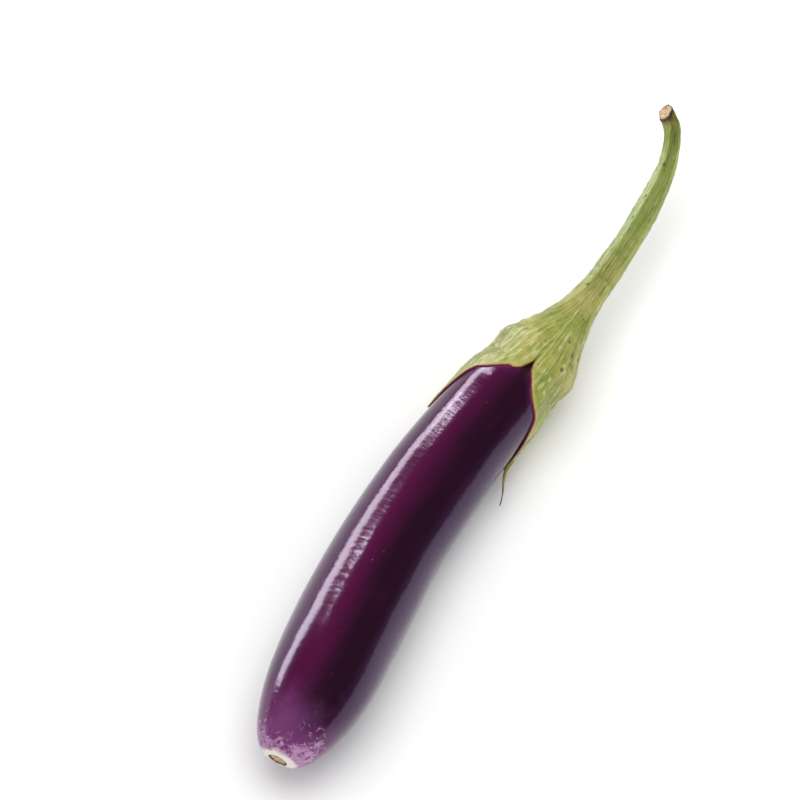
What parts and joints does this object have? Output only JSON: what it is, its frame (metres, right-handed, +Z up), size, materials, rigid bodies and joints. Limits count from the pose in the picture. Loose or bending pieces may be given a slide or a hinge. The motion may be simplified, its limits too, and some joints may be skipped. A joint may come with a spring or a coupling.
{
  "type": "eggplant",
  "caption": "Long slender glossy purple eggplant lying on its side, with a green lobed calyx, a dried sepal thread and a curled cut stem.",
  "frame": {"origin": "middle of the small flat spot under the belly that the fruit rests on", "axes": "+X from the blossom end towards the stem, the longest extent; +Z up, away from the surface it rests on; +Y to the left seen from above with the stem ahead"},
  "size_m": [0.3057, 0.0465, 0.0439],
  "materials": {
    "purple_skin": "glossy waxy skin, near-black purple, lighter and speckled at the blossom end",
    "green_calyx": "satin, leathery yellow-green, wrinkled, with dark olive pits",
    "green_stem": "satin, fibrous and ribbed green, with a browned cut end"
  },
  "bodies": {
    "root": {"fruit": "purple_skin", "calyx": "green_calyx", "stem": "green_stem"}
  },
  "joints": []
}
